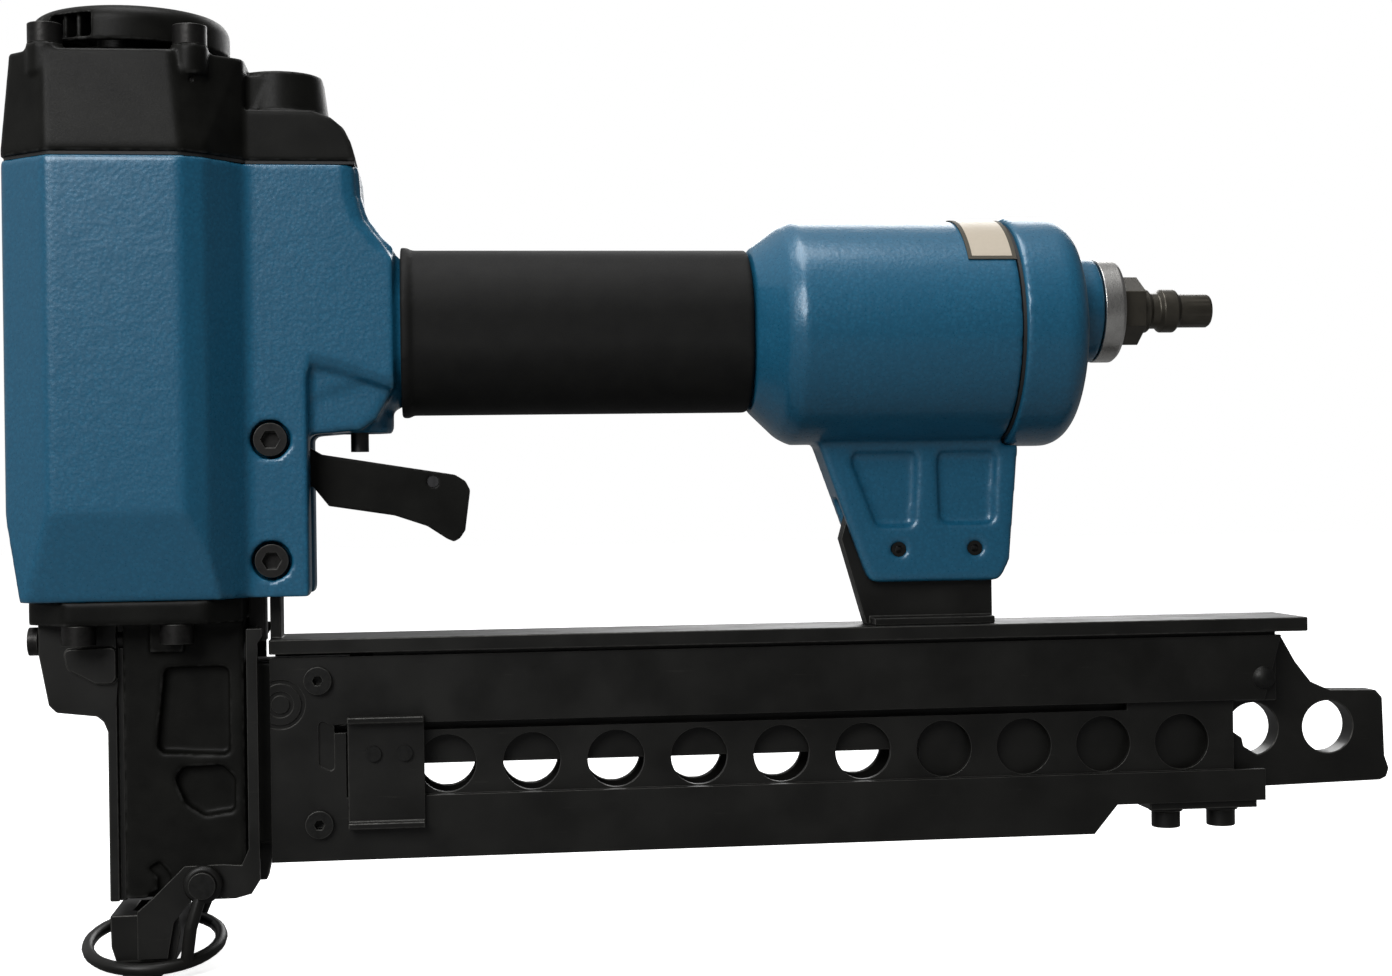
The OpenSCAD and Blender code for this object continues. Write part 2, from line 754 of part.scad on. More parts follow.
module flange_bolts() {
    color([0.09, 0.09, 0.09])
        for (sx = [-1, 1])
            for (sy = [-1, 1])
                translate([sx * flange_bolt_x, sy * flange_bolt_y, flange_z]) rotate([180, 0, 0]) socket_screw(m5, 17);
}

// Front closure of the staple channel with its thick upper block
module front_plate() {
    color([0.08, 0.08, 0.08]) difference() {
        union() {
            box([plate_front, -12.5, 19.4], [-4, 12.5, flange_z - e]);
            box([-4 - e, -11, 19.4], [cheek_front - fit, 11, flange_z - e]);
            box([cheek_front - fit - e, -cheek_in + fit, 19.4], [channel_front - fit, cheek_in - fit, flange_z - e]);
            side_prism([
                [-4, flange_z - e], [-23.3, flange_z - e], [-23.3, 82.7], [-20.9, 69.5], [-19, 67.6],
                [-9, 66.4], [-7.4, 65], [plate_front + 0.2, 62], [-4, 62]
            ], 12.5);
            // Rounded boss beside the upper screws
            for (side = [-1, 1])
                translate([0, side * 12.5, 0])
                    round_prism([[-17, 83.6], [-16, 78.6], [-9, 74.8], [-5, 74.8], [-4, 76], [-4, 84]], 1.6, 1.4);
        }
        for (side = [-1, 1]) {
            rod_x(front_screw_z, m5[0], -30, 5, y = side * 9.4);
            rod_x(34, 1.5, -10, 5, y = side * 9.4);
            rod_x(34, 2.6, -10, plate_front + 1.6, y = side * 9.4);
        }
    }
}

module front_screws() {
    color([0.12, 0.12, 0.12])
        for (side = [-1, 1]) {
            translate([-23.4, side * 9.4, front_screw_z]) rotate([0, -90, 0]) socket_screw([2.5, 3.6, 2.6], 32);
            translate([plate_front + 1.6, side * 9.4, 34]) rotate([0, -90, 0]) socket_screw([1.5, 2.6, 1.5], 10.4, 1.4);
        }
}

// ---------- safety contact ----------

// Foot that stands on the work and lifts with it
module contact_foot() {
    color([0.09, 0.09, 0.09]) difference() {
        side_prism([
            [-6.4, foot_h], [-6.2, 8], [-3.9, 0.8], [-3, 0], [6, 0], [9.5, 3.5], [11, 11], [10.6, foot_h]
        ], arm_in);
        box([-1.5, -7, -1], [1.5, 7, foot_h + 1]);
        // Bevels along the lower sides
        for (side = [-1, 1])
            translate([-10, side * arm_in, 0]) rotate([45, 0, 0]) cube([30, 3, 3]);
    }
}

// Yoke that joins the foot to the trigger
module contact_arm() {
    tab_top = 122.8;
    color([0.14, 0.14, 0.14]) {
        for (side = [-1, 1])
            difference() {
                side_plate([
                    [0.5, 5], [8, 5], [9.6, 14], [14, 19.6], [25, 19.6], [29, 20.6], [31.2, 24],
                    [31.2, 84], [32.4, 86], [32.4, 88], [28.4, 88], [28.4, 32], [26.6, 28], [22, 28.4], [12.4, 28.2], [4, 20], [0.5, 17]
                ], side, arm_in, arm_in + arm_t);
                rod_y(17.1, 23.8, 1.8, -20, 20);
            }
        box([28.4, -arm_in - arm_t, 83.6], [30.4, arm_in + arm_t, 88]);
        // Tab that runs up inside the column to the tappet
        box([28.4, -5, 84], [32.4, 5, tab_top]);
        // Ear under the return spring
        box([contact_spring_x - 3.5, arm_in + arm_t - e, 58.4], [32.4, arm_in + 7.6, 60.2]);
    }
}

module contact_spring() {
    color([0.6, 0.6, 0.6]) translate([contact_spring_x, 18.2, 60.3]) coil_spring(2.5, 0.5, 8, flange_z - 60.4);
}

// Bent wire loop that guards the foot
module contact_wire() {
    loop_c = [2.9, 0, 6.6];
    semi_x = 16.8;
    semi_y = 17.9;
    tilt = tan(11);
    steps = 40;
    loop = [for (i = [0 : steps]) let (a = 360 * i / steps + 30)
        loop_c + [semi_x * cos(a), semi_y * sin(a), semi_y * sin(a) * tilt]];
    color([0.08, 0.08, 0.08]) {
        wire(loop, wire_r, 10);
        for (side = [-1, 1]) {
            hull() {
                translate([12.5, side * 14.7, 6.6 + 2.8 * side]) sphere(wire_r, $fn = 16);
                translate([14, side * 17.2, 13]) sphere(wire_r, $fn = 16);
            }
            hull() {
                translate([14, side * 17.2, 13]) sphere(wire_r, $fn = 16);
                translate([16.2, side * 17, 20.2]) sphere(wire_r, $fn = 16);
            }
            translate([17.1, side * 16.7, 23.8]) rotate([90, 0, 0]) ring(3.6, 1.3);
        }
    }
}

module eye_screws() {
    color([0.2, 0.2, 0.2])
        for (side = [-1, 1]) {
            rod_y(17.1, 23.8, 1.8, min(side * arm_in, side * 18.6), max(side * arm_in, side * 18.6));
            rod_y(17.1, 23.8, 3.4, min(side * 18.4, side * 19.6), max(side * 18.4, side * 19.6));
        }
}

// ---------- magazine ----------

module top_rail() {
    color([0.09, 0.09, 0.09]) difference() {
        union() {
            box([mag_x0, -12, rail_z0], [rail_x1, 12, rail_z1]);
            // Hook up to the column
            box([mag_x0, -5.6, rail_z1 - e], [36.6, 5.6, 95.6]);
            for (side = [-1, 1]) {
                side_plate([[60, 74], [292, 74], [292, 62], [304, 62], [304, rail_z0 + e], [60, rail_z0 + e]],
                    side, 6, 8.3);
                rod_y(rivet_x, rivet_z, 2.4, min(side * 6, side * 8.3), max(side * 6, side * 8.3));
            }
        }
        rod_y(rivet_x, rivet_z, 2, -20, 20);
    }
}

// Pressed side plate with a recessed band and a row of round windows
module magazine_side(side) {
    difference() {
        union() {
            side_plate([[mag_x0, band_z1], [300, band_z1], [305, plate_top], [mag_x0, plate_top]],
                side, plate_half_w - plate_t, plate_half_w);
            side_plate([[mag_x0, mag_z0], [251.8, mag_z0], [258.3, 35.1], [300, 35.1], [300, band_z0], [mag_x0, band_z0]],
                side, plate_half_w - plate_t, plate_half_w);
            side_plate([[mag_x0, band_z0 - 1], [band_x0, band_z0 - 1], [band_x0, band_z1 + 1], [mag_x0, band_z1 + 1]],
                side, plate_half_w - plate_t, plate_half_w);
            side_plate([[band_x0 - 1.6, band_z0 - 1.6], [band_x1, band_z0 - 1.6], [band_x1, band_z1 + 1.6],
                [band_x0 - 1.6, band_z1 + 1.6]], side, band_half_w - plate_t, band_half_w);
            // Steps between the band and the plates
            for (z = [band_z0 - 1.6, band_z1])
                side_plate([[band_x0 - 1.6, z], [band_x1, z], [band_x1, z + 1.6], [band_x0 - 1.6, z + 1.6]],
                    side, band_half_w - plate_t, plate_half_w - e);
            side_plate([[band_x0 - 1.6, band_z0], [band_x0, band_z0], [band_x0, band_z1], [band_x0 - 1.6, band_z1]],
                side, band_half_w - plate_t, plate_half_w - e);
        }
        for (i = [1 : window_count])
            rod_y(window_x0 + i * window_pitch, window_z, window_d / 2, -20, 20);
        for (z = plate_screw_z)
            rod_y(plate_screw_x, z, 2, -20, 20);
        rod_y(rivet_x, rivet_z, 2, -20, 20);
        // Recesses pressed into the front field
        translate([0, side * plate_half_w, 0]) {
            round_prism([[46, 52], [50, 50], [50, 62], [46, 64]], 0.7, 1);
            for (r = [3.4, 6.4])
                translate([36.4, 0, 68]) rotate([90, 0, 0]) difference() {
                    cylinder(r = r, h = 1.4, center = true);
                    cylinder(r = r - 1.1, h = 2, center = true);
                }
        }
    }
}

module left_side_plate() {
    color([0.08, 0.08, 0.08]) difference() {
        magazine_side(-1);
        box([band_x0 - 3, -20, slot_z0], [slot_x1, 0, slot_z1]);
    }
}

module right_side_plate() {
    color([0.08, 0.08, 0.08]) magazine_side(1);
}

module bottom_strip() {
    color([0.08, 0.08, 0.08]) box([mag_x0, -8.3, mag_z0], [251, 8.3, mag_z0 + 2]);
}

// Core that the staples hang on, with its tail behind the magazine
module guide_rail() {
    color([0.1, 0.1, 0.1]) difference() {
        side_prism([
            [1.3, core_z1], [307.4, core_z1], [311.7, 71.9], [316.1, 66.3], [321.5, 63.9], [334.8, 63.6],
            [336.7, 61.5], [337.2, 45.3], [338.4, 41.8], [337.6, 39.4], [335.7, 38.6], [268, 37.2],
            [210, 37.2], [205, 42], [205, core_z0], [54.5, core_z0],
            [52, 46.5], [50, 35], [46, 31], [34, 31], [32, 22], [1.3, 22]
        ], rail_t / 2);
        difference() {
            rod_y(tail_window_x[0], tail_window_z, 7.2, -10, 10);
            // Catch that the spring of the follower hooks on
            side_prism([[290, 45], [290, 55.4], [296, 51.4], [296.5, 49], [300.4, 46.6], [300.4, 45]], rail_t);
        }
        rod_y(tail_window_x[1], tail_window_z, 7.2, -10, 10);
        box([roll_x - 6, -2.5, roll_z - 7.5], [roll_x + 8, 2.5, roll_z + 6.2]);
        rod_y(roll_x, roll_z, 1, -10, 10);
        for (x = stud_x)
            translate([x, 0, 30]) cylinder(r = 2, h = 16);
    }
}

module spring_pin() {
    color([0.5, 0.5, 0.5]) rod_y(roll_x, roll_z, 1, -rail_t / 2, rail_t / 2);
}

// Rolled strip spring that draws the pusher forward
module pusher_spring() {
    color([0.55, 0.56, 0.58]) difference() {
        rod_y(roll_x, roll_z, roll_r, -2.2, 2.2);
        rod_y(roll_x, roll_z, 1 + fit, -5, 5);
    }
}

module tail_bracket() {
    color([0.09, 0.09, 0.09]) difference() {
        union() {
            box([268, -8.3, 33], [298.2, 8.3, 36.9]);
            for (x = stud_x)
                translate([x, 0, 31.6]) cylinder(r = 4.6, h = 2);
        }
        for (x = stud_x)
            translate([x, 0, 28]) cylinder(r = 2, h = 12);
    }
}

module tail_studs() {
    color([0.1, 0.1, 0.1])
        for (x = stud_x)
            translate([x, 0, 0]) {
                translate([0, 0, 27.2]) cylinder(r = 3.9, h = 4.4);
                translate([0, 0, 31]) cylinder(r = 2, h = 15);
            }
}

module plate_screws() {
    color([0.13, 0.13, 0.13])
        for (side = [-1, 1])
            for (z = plate_screw_z)
                translate([plate_screw_x, side * plate_half_w, z]) rotate([-90 * side, 0, 0])
                    socket_screw([2, 3.6, 1.8], 3.9, 1.3);
}

module rail_rivets() {
    color([0.13, 0.13, 0.13])
        for (side = [-1, 1]) {
            rod_y(rivet_x, rivet_z, 2, min(side * 6.1, side * 11), max(side * 6.1, side * 11));
            translate([rivet_x, side * plate_half_w, rivet_z]) rotate([-90 * side, 0, 0])
                rotate_extrude() intersection() {
                    translate([0, -2.6]) circle(4.2);
                    square([3.4, 3]);
                }
        }
}

// Saddle that runs on the guide rail behind the staples
module pusher() {
    inner = rail_t / 2 + gap;
    outer = inner + 1.5;
    color([0.16, 0.16, 0.16]) {
        for (side = [-1, 1])
            side_plate([[pusher_x0, 46], [pusher_x0 + 4, 36], [pusher_x0 + pusher_len, 36],
                [pusher_x0 + pusher_len, 80.7], [pusher_x0, 80.7]], side, inner, outer);
        box([pusher_x0, -outer, core_z1 + gap], [pusher_x0 + pusher_len, outer, 80.7]);
        // Tongue out through the slot in the left side plate, with the tab that carries the handle
        box([pusher_x0 + 5, -10.4, slot_z0 + 0.3], [pusher_x0 + 15, -inner - 0.2, slot_z1 - 0.3]);
        difference() {
            box([pusher_x0 + 3, -10.4, 50], [pusher_x0 + 17, -8.6, slot_z1 - 0.3]);
            for (x = handle_rivet_x)
                rod_y(x, handle_rivet_z, 1.2, -20, 0);
        }
    }
}

// Outside plate that the user draws back, with folded upper and lower lips
module pusher_handle() {
    color([0.09, 0.09, 0.09]) difference() {
        union() {
            side_plate([[53.4, handle_z0], [73, handle_z0], [73, handle_z1], [53.4, handle_z1]], -1, 10.4, 12);
            side_plate([[53.4, handle_z1 - 1.6], [73, handle_z1 - 1.6], [73, handle_z1], [53.4, handle_z1]], -1, 11.9, 15);
            side_plate([[53.4, handle_z0], [73, handle_z0], [73, handle_z0 + 1.6], [53.4, handle_z0 + 1.6]], -1, 11.9, 14);
        }
        for (x = handle_rivet_x)
            rod_y(x, handle_rivet_z, 1.2, -20, 0);
    }
}

module handle_rivets() {
    color([0.3, 0.3, 0.3])
        for (x = handle_rivet_x) {
            rod_y(x, handle_rivet_z, 1.2, -12.2, -8.6);
            rod_y(x, handle_rivet_z, 2, -12.9, -12);
        }
}

module rear_bracket() {
    color([0.08, 0.08, 0.08]) difference() {
        union() {
            side_prism([[184.8, 108], [191.4, rail_z1], [226.3, rail_z1], [226.3, 116], [187, 116]], tongue_t / 2);
            box([192.6, -8, rail_z1], [225.6, 8, rail_z1 + 2]);
        }
        for (x = fork_pin_x)
            rod_y(x, fork_pin_z, fork_pin_r, -10, 10);
    }
}

module bracket_pins() {
    color([0.1, 0.1, 0.1])
        for (x = fork_pin_x)
            difference() {
                rod_y(x, fork_pin_z, fork_pin_r, -fork_half_w + 0.4, fork_half_w - 0.4);
                rod_y(x, fork_pin_z, 1, -10, 10);
            }
}

// ---------- nodes ----------

body_casting();
cylinder_cap();
cap_gasket();
cap_screws();
cylinder_sleeve();
sleeve_seals();
rubber_bumper();
grip_sleeve();
end_cap();
end_cap_seal();
inlet_bushing();
air_plug();
label_plate();
valve_bush();
valve_seals();
valve_spring();
trigger_screws();
trigger_spring();
nose_base();
flange_bolts();
front_plate();
front_screws();
top_rail();
left_side_plate();
right_side_plate();
bottom_strip();
guide_rail();
tail_bracket();
tail_studs();
plate_screws();
rail_rivets();
spring_pin();
rear_bracket();
bracket_pins();
head_spring();
contact_spring();
piston();
piston_ring();
driver_blade();
head_valve();
head_valve_ring();
exhaust_deflector();
deflector_screw();
trigger();
tappet_pin();
trigger_tappet();
valve_stem();
contact_foot();
contact_arm();
contact_wire();
eye_screws();
pusher();
pusher_handle();
handle_rivets();
pusher_spring();
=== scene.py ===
"""Finish of a heavy pneumatic stapler, laid out as an add-on.

There is one operator per piece or group of like pieces, and one for the stage.
"""
import json
import math

import bmesh
import bpy
from mathutils import Matrix, Vector


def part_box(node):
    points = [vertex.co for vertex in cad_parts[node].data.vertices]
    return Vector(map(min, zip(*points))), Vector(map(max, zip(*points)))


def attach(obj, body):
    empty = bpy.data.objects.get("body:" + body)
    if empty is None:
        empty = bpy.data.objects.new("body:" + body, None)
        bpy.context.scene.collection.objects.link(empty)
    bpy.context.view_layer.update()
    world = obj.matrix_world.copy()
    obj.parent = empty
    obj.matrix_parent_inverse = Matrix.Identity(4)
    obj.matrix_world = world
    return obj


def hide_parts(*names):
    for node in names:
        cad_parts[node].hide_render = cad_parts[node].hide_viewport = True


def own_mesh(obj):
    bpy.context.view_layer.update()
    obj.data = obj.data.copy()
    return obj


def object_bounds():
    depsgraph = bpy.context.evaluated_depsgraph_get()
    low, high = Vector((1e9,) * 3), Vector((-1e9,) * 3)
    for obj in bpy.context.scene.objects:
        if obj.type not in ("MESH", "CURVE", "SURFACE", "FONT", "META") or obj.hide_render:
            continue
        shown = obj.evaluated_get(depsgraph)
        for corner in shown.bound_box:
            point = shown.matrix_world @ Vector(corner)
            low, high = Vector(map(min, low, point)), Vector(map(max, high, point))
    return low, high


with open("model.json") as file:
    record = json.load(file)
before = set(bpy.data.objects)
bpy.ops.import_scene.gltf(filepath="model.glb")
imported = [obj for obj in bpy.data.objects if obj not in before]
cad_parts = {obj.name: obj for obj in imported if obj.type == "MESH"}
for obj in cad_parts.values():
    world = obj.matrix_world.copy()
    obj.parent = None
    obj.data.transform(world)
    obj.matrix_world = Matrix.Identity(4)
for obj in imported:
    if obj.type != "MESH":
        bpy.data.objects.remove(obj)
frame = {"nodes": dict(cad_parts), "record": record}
NODES = frame["nodes"]
CAD_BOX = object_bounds()

bl_info = {
    "name": "Pneumatic stapler",
    "version": (1, 0, 0),
    "blender": (4, 5, 0),
    "location": "View3D > Sidebar > Stapler",
    "description": "Finishes the castings, steel parts and fittings of a heavy pneumatic stapler",
    "category": "Object",
}

MM = 0.001
BEHAVIOUR = frame["record"]["behaviour"]
BODY_OF = {node: owner for owner, members in BEHAVIOUR["bodies"].items() for node in members}
SLOT_OF = {node: piece.data.materials[0].name for node, piece in NODES.items()}

# Angles and distances that every mesh is built with
WELD = 0.02 * MM
FLAT = math.radians(0.5)
CREASE = math.radians(38)
BEVEL_FROM = math.radians(32)

# The label lies on the reservoir, whose skin stands out over the end cap's seal
SEAL_LOW, SEAL_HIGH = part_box("end_cap_seal")
SEAL_SINK = 0.4 * MM
RESERVOIR_Z = (SEAL_LOW[2] + SEAL_HIGH[2]) / 2
RESERVOIR_R = (SEAL_HIGH[2] - SEAL_LOW[2]) / 2 + SEAL_SINK
LABEL_LIFT = 0.25 * MM
LABEL_MARGIN = 0.2 * MM
LABEL_TRIM = 0.3 * MM
LABEL_BORDER = 1.1 * MM
LABEL_THICKNESS = 0.3 * MM
LABEL_STEPS = 28

# Colours of the thin and the worn places; the paint's edge colour is partly wear and partly a painted
# highlight
WORN_AND_HIGHLIT_PAINT = (0.06, 0.22, 0.32)
PALE_CASTING = (0.008, 0.008, 0.007)
WORN_CASTING = (0.06, 0.06, 0.058)
PALE_RUBBER = (0.006, 0.006, 0.0055)

# Stage
LIGHT_TARGET = (0.12, 0, 0.13)
LIGHT_SIZE = 0.8
SENSOR_WIDTH = 36
SKY_TILT = (-0.5, 0.15, 0.85)
MIX_FACTOR, MIX_A, MIX_B = 0, 2, 3


# ---------------------------------------------------------------- sizes and colours

def colour_prop(name, description, default):
    return bpy.props.FloatVectorProperty(
        name=name, description=description, default=default, size=3, min=0, max=1, subtype="COLOR")


def length_prop(name, description, default):
    return bpy.props.FloatProperty(
        name=name, description=description, default=default, min=0, subtype="DISTANCE", unit="LENGTH")


def plain_prop(name, description, default, low=0):
    return bpy.props.FloatProperty(name=name, description=description, default=default, min=low)


class FinishColours(bpy.types.PropertyGroup):
    paint: colour_prop("Paint", "Blue of the hammertone paint", (0.011, 0.116, 0.212))
    paint_deep: colour_prop("Deep paint", "Paint in the hollows of the hammertone", (0.008, 0.092, 0.172))
    casting: colour_prop("Black casting", "Cap, nose and deflector", (0.0035, 0.0035, 0.003))
    steel: colour_prop("Blackened steel", "Magazine, plates and foot", (0.0045, 0.0044, 0.0038))
    rubber: colour_prop("Grip rubber", "Sleeve of the handle", (0.0035, 0.0035, 0.0033))
    aluminium: colour_prop("Aluminium", "Turned inlet bushing", (0.62, 0.61, 0.59))
    bronze: colour_prop("Bronzed steel", "Air plug", (0.075, 0.068, 0.055))
    label: colour_prop("Label", "Blank label on the reservoir", (0.46, 0.40, 0.316))


class EdgeSizes(bpy.types.PropertyGroup):
    cast_voxel: length_prop("Casting detail", "Cells that the painted castings are rounded at", 0.85 * MM)
    small_voxel: length_prop("Small casting detail", "Cells of the smaller castings", 0.6 * MM)
    sheet_edge: length_prop("Sheet edge", "Bevel along the edges of the steel sheet parts", 0.35 * MM)
    turned_edge: length_prop("Turned edge", "Bevel along the edges of turned parts", 0.25 * MM)


class StageSettings(bpy.types.PropertyGroup):
    camera_place: bpy.props.FloatVectorProperty(
        name="Camera", description="Place of the camera", default=(0.0778, -0.5558, 0.1222),
        size=3, subtype="XYZ", unit="LENGTH")
    camera_yaw: bpy.props.FloatProperty(
        name="Yaw", description="Turn of the camera to the rear of the tool", default=math.radians(7),
        subtype="ANGLE")
    camera_roll: bpy.props.FloatProperty(
        name="Roll", description="Tilt of the camera about its own axis", default=math.radians(0.8),
        subtype="ANGLE")
    lens: plain_prop("Lens", "Focal length in millimetres", 54.02, 1)
    floor: colour_prop("Floor", "Pale floor", (0.86, 0.86, 0.86))
    floor_size: length_prop("Floor size", "Side of the floor", 8.0)
    key_power: plain_prop("Key light", "Large soft light in front", 13.5)
    top_power: plain_prop("Top light", "Soft light overhead", 9.0)
    fill_power: plain_prop("Fill light", "Soft light from behind", 6.0)
    sky_low: plain_prop("Dim sky", "Light from the sides", 0.10)
    sky_high: plain_prop("Bright sky", "Light from above", 0.55)


# ---------------------------------------------------------------- material building

def add(material, kind, inputs=None, **attributes):
    """Adds a shader node, sets its attributes and the values of its inputs."""
    made = material.node_tree.nodes.new("ShaderNode" + kind)
    for key, value in attributes.items():
        setattr(made, key, value)
    for key, value in (inputs or {}).items():
        made.inputs[key].default_value = value
    return made


def join(material, source, target):
    material.node_tree.links.new(source, target)


def object_place(material, stretch=(1, 1, 1)):
    """Object coordinates, stretched along each axis."""
    place = add(material, "TexCoord")
    mapping = add(material, "Mapping", {"Scale": stretch})
    join(material, place.outputs["Object"], mapping.inputs["Vector"])
    return mapping.outputs["Vector"]


def grain(material, size, detail=3.0, roughness=0.5, stretch=(1, 1, 1)):
    """Noise whose grains are about size metres across."""
    noise = add(material, "TexNoise", {"Scale": 1 / size, "Detail": detail, "Roughness": roughness})
    join(material, object_place(material, stretch), noise.inputs["Vector"])
    return noise.outputs["Fac"]


def cells(material, size, smooth=0.6):
    """Rounded cells about size metres across, as in hammertone paint."""
    voronoi = add(material, "TexVoronoi", {"Scale": 1 / size, "Smoothness": smooth}, feature="SMOOTH_F1")
    join(material, object_place(material), voronoi.inputs["Vector"])
    return voronoi.outputs["Distance"]


def ramp(material, source, low, high, start=0.0, end=1.0):
    """Maps source between low and high onto start to end."""
    made = add(material, "MapRange", {"From Min": low, "From Max": high, "To Min": start, "To Max": end})
    join(material, source, made.inputs["Value"])
    return made.outputs["Result"]


def mix_colour(material, amount, first, second):
    """Colour between first and second, each a colour or a socket."""
    made = add(material, "Mix", data_type="RGBA")
    join(material, amount, made.inputs["Factor"])
    for name, value in (("A", first), ("B", second)):
        target = [s for s in made.inputs if s.name == name and s.type == "RGBA"][0]
        if isinstance(value, bpy.types.NodeSocket):
            join(material, value, target)
        else:
            target.default_value = (*value, 1)
    return [s for s in made.outputs if s.type == "RGBA"][0]


def multiply(material, first, second):
    made = add(material, "Math", operation="MULTIPLY", use_clamp=True)
    join(material, first, made.inputs[0])
    join(material, second, made.inputs[1])
    return made.outputs[0]


def bump(material, layers):
    """Stacks bumps, each (height socket, distance in metres, strength), into the shader's normal."""
    last = None
    for height, distance, strength in layers:
        made = add(material, "Bump", {"Distance": distance, "Strength": strength})
        join(material, height, made.inputs["Height"])
        if last:
            join(material, last, made.inputs["Normal"])
        last = made.outputs["Normal"]
    join(material, last, shader(material).inputs["Normal"])


def shader(material):
    return material.node_tree.nodes["Principled BSDF"]


def worn_edges(material, low=0.52, high=0.58):
    """How much a dense mesh sticks out, broken up by grain."""
    point = add(material, "NewGeometry").outputs["Pointiness"]
    sharp = ramp(material, point, low, high)
    return multiply(material, sharp, ramp(material, grain(material, 2.5 * MM), 0.4, 0.6))


def new_material(name, metallic=0.0, **sockets):
    material = bpy.data.materials.new(name)
    material.use_nodes = True
    shader(material).inputs["Metallic"].default_value = metallic
    for key, value in sockets.items():
        shader(material).inputs[key.replace("_", " ").title().replace("Ior", "IOR")].default_value = value
    return material


def finish_surface(material, colour, roughness):
    join(material, colour, shader(material).inputs["Base Color"])
    join(material, roughness, shader(material).inputs["Roughness"])


# ---------------------------------------------------------------- materials

def hammertone_paint(colours):
    material = new_material("hammertone paint", metallic=0.1, coat_weight=0.3, coat_roughness=0.14)
    dimples = cells(material, 1.0 * MM)
    fine = grain(material, 0.5 * MM, 2)
    broad = grain(material, 18 * MM, 2)
    shade = mix_colour(material, ramp(material, dimples, 0.1, 0.6), colours.paint, colours.paint_deep)
    shade = mix_colour(material, ramp(material, broad, 0.35, 0.65, 0.0, 0.35), shade, colours.paint_deep)
    # Paler blue along the paint's sharp edges: partly wear, partly a painted highlight where light catches
    # the edges
    edges = add(material, "NewGeometry").outputs["Pointiness"]
    shade = mix_colour(material, ramp(material, edges, 0.53, 0.60, 0.0, 0.6), shade, WORN_AND_HIGHLIT_PAINT)
    finish_surface(material, shade, ramp(material, fine, 0.3, 0.7, 0.26, 0.42))
    waves = grain(material, 5 * MM, 2)
    bump(material, [(dimples, 0.10 * MM, 0.35), (fine, 0.03 * MM, 0.30), (waves, 0.25 * MM, 0.35)])
    return material


def black_casting(colours):
    material = new_material("black casting", specular_ior_level=0.10, coat_weight=0.04, coat_roughness=0.3)
    pores = grain(material, 0.35 * MM, 3, 0.6)
    broad = grain(material, 9 * MM, 3)
    shade = mix_colour(material, ramp(material, broad, 0.3, 0.7), colours.casting, PALE_CASTING)
    shade = mix_colour(material, worn_edges(material), shade, WORN_CASTING)
    finish_surface(material, shade, ramp(material, pores, 0.3, 0.7, 0.36, 0.56))
    bump(material, [(pores, 0.05 * MM, 0.45), (grain(material, 1.6 * MM, 2), 0.06 * MM, 0.25)])
    return material


def blackened_steel(colours):
    material = new_material("blackened steel", metallic=0.1, specular_ior_level=0.32,
                            coat_weight=0.05, coat_roughness=0.2)
    base = tuple(colours.steel)
    drawn = grain(material, 0.9 * MM, 4, 0.6, (0.08, 1, 1))
    clouds = grain(material, 14 * MM, 4)
    shade = mix_colour(material, ramp(material, clouds, 0.35, 0.7), base, tuple(c * 1.7 for c in base))
    scratches = ramp(material, drawn, 0.66, 0.74)
    shade = mix_colour(material, scratches, shade, tuple(c * 3.0 for c in base))
    finish_surface(material, shade, ramp(material, clouds, 0.3, 0.7, 0.34, 0.52))
    bump(material, [(drawn, 0.03 * MM, 0.25), (grain(material, 0.4 * MM, 2), 0.02 * MM, 0.3)])
    return material


def rubbed_steel(name, base, roughness=0.4, metallic=0.8):
    """Edges and small parts where the black finish is rubbed thin."""
    material = new_material(name, metallic=metallic)
    patches = grain(material, 1.8 * MM, 4, 0.6)
    shade = mix_colour(material, ramp(material, patches, 0.35, 0.7), base, tuple(c * 0.45 for c in base))
    finish_surface(material, shade, ramp(material, patches, 0.3, 0.7, roughness, roughness + 0.18))
    bump(material, [(grain(material, 0.3 * MM, 2), 0.015 * MM, 0.4)])
    return material


def grip_rubber(colours):
    material = new_material("grip rubber", specular_ior_level=0.2)
    fine = grain(material, 0.3 * MM, 3, 0.7)
    broad = grain(material, 6 * MM, 3)
    shade = mix_colour(material, ramp(material, broad, 0.3, 0.7), colours.rubber, PALE_RUBBER)
    finish_surface(material, shade, ramp(material, fine, 0.3, 0.7, 0.58, 0.76))
    bump(material, [(fine, 0.05 * MM, 0.5), (broad, 0.12 * MM, 0.15)])
    return material


def soft_seal(name, base):
    material = new_material(name)
    fine = grain(material, 0.4 * MM, 2)
    finish_surface(material, mix_colour(material, fine, base, tuple(c * 1.8 for c in base)),
                   ramp(material, fine, 0.3, 0.7, 0.55, 0.7))
    bump(material, [(fine, 0.02 * MM, 0.4)])
    return material


def turned_metal(name, base, roughness, stretch, metallic=1.0):
    """Metal with the fine rings that a lathe leaves: stretch is large along the turning axis."""
    material = new_material(name, metallic=metallic)
    rings = grain(material, 1.2 * MM, 3, 0.6, stretch)
    stains = grain(material, 5 * MM, 3)
    shade = mix_colour(material, ramp(material, stains, 0.3, 0.7), base, tuple(c * 0.78 for c in base))
    finish_surface(material, shade, ramp(material, rings, 0.3, 0.7, roughness, roughness + 0.14))
    bump(material, [(rings, 0.02 * MM, 0.35)])
    return material


def label_face(colours):
    material = new_material("label face", coat_weight=0.25, coat_roughness=0.3)
    fibres = grain(material, 1.2 * MM, 4)
    shade = mix_colour(material, fibres, colours.label, tuple(c * 0.93 for c in colours.label))
    finish_surface(material, shade, ramp(material, fibres, 0.3, 0.7, 0.42, 0.55))
    bump(material, [(fibres, 0.01 * MM, 0.2)])
    return material


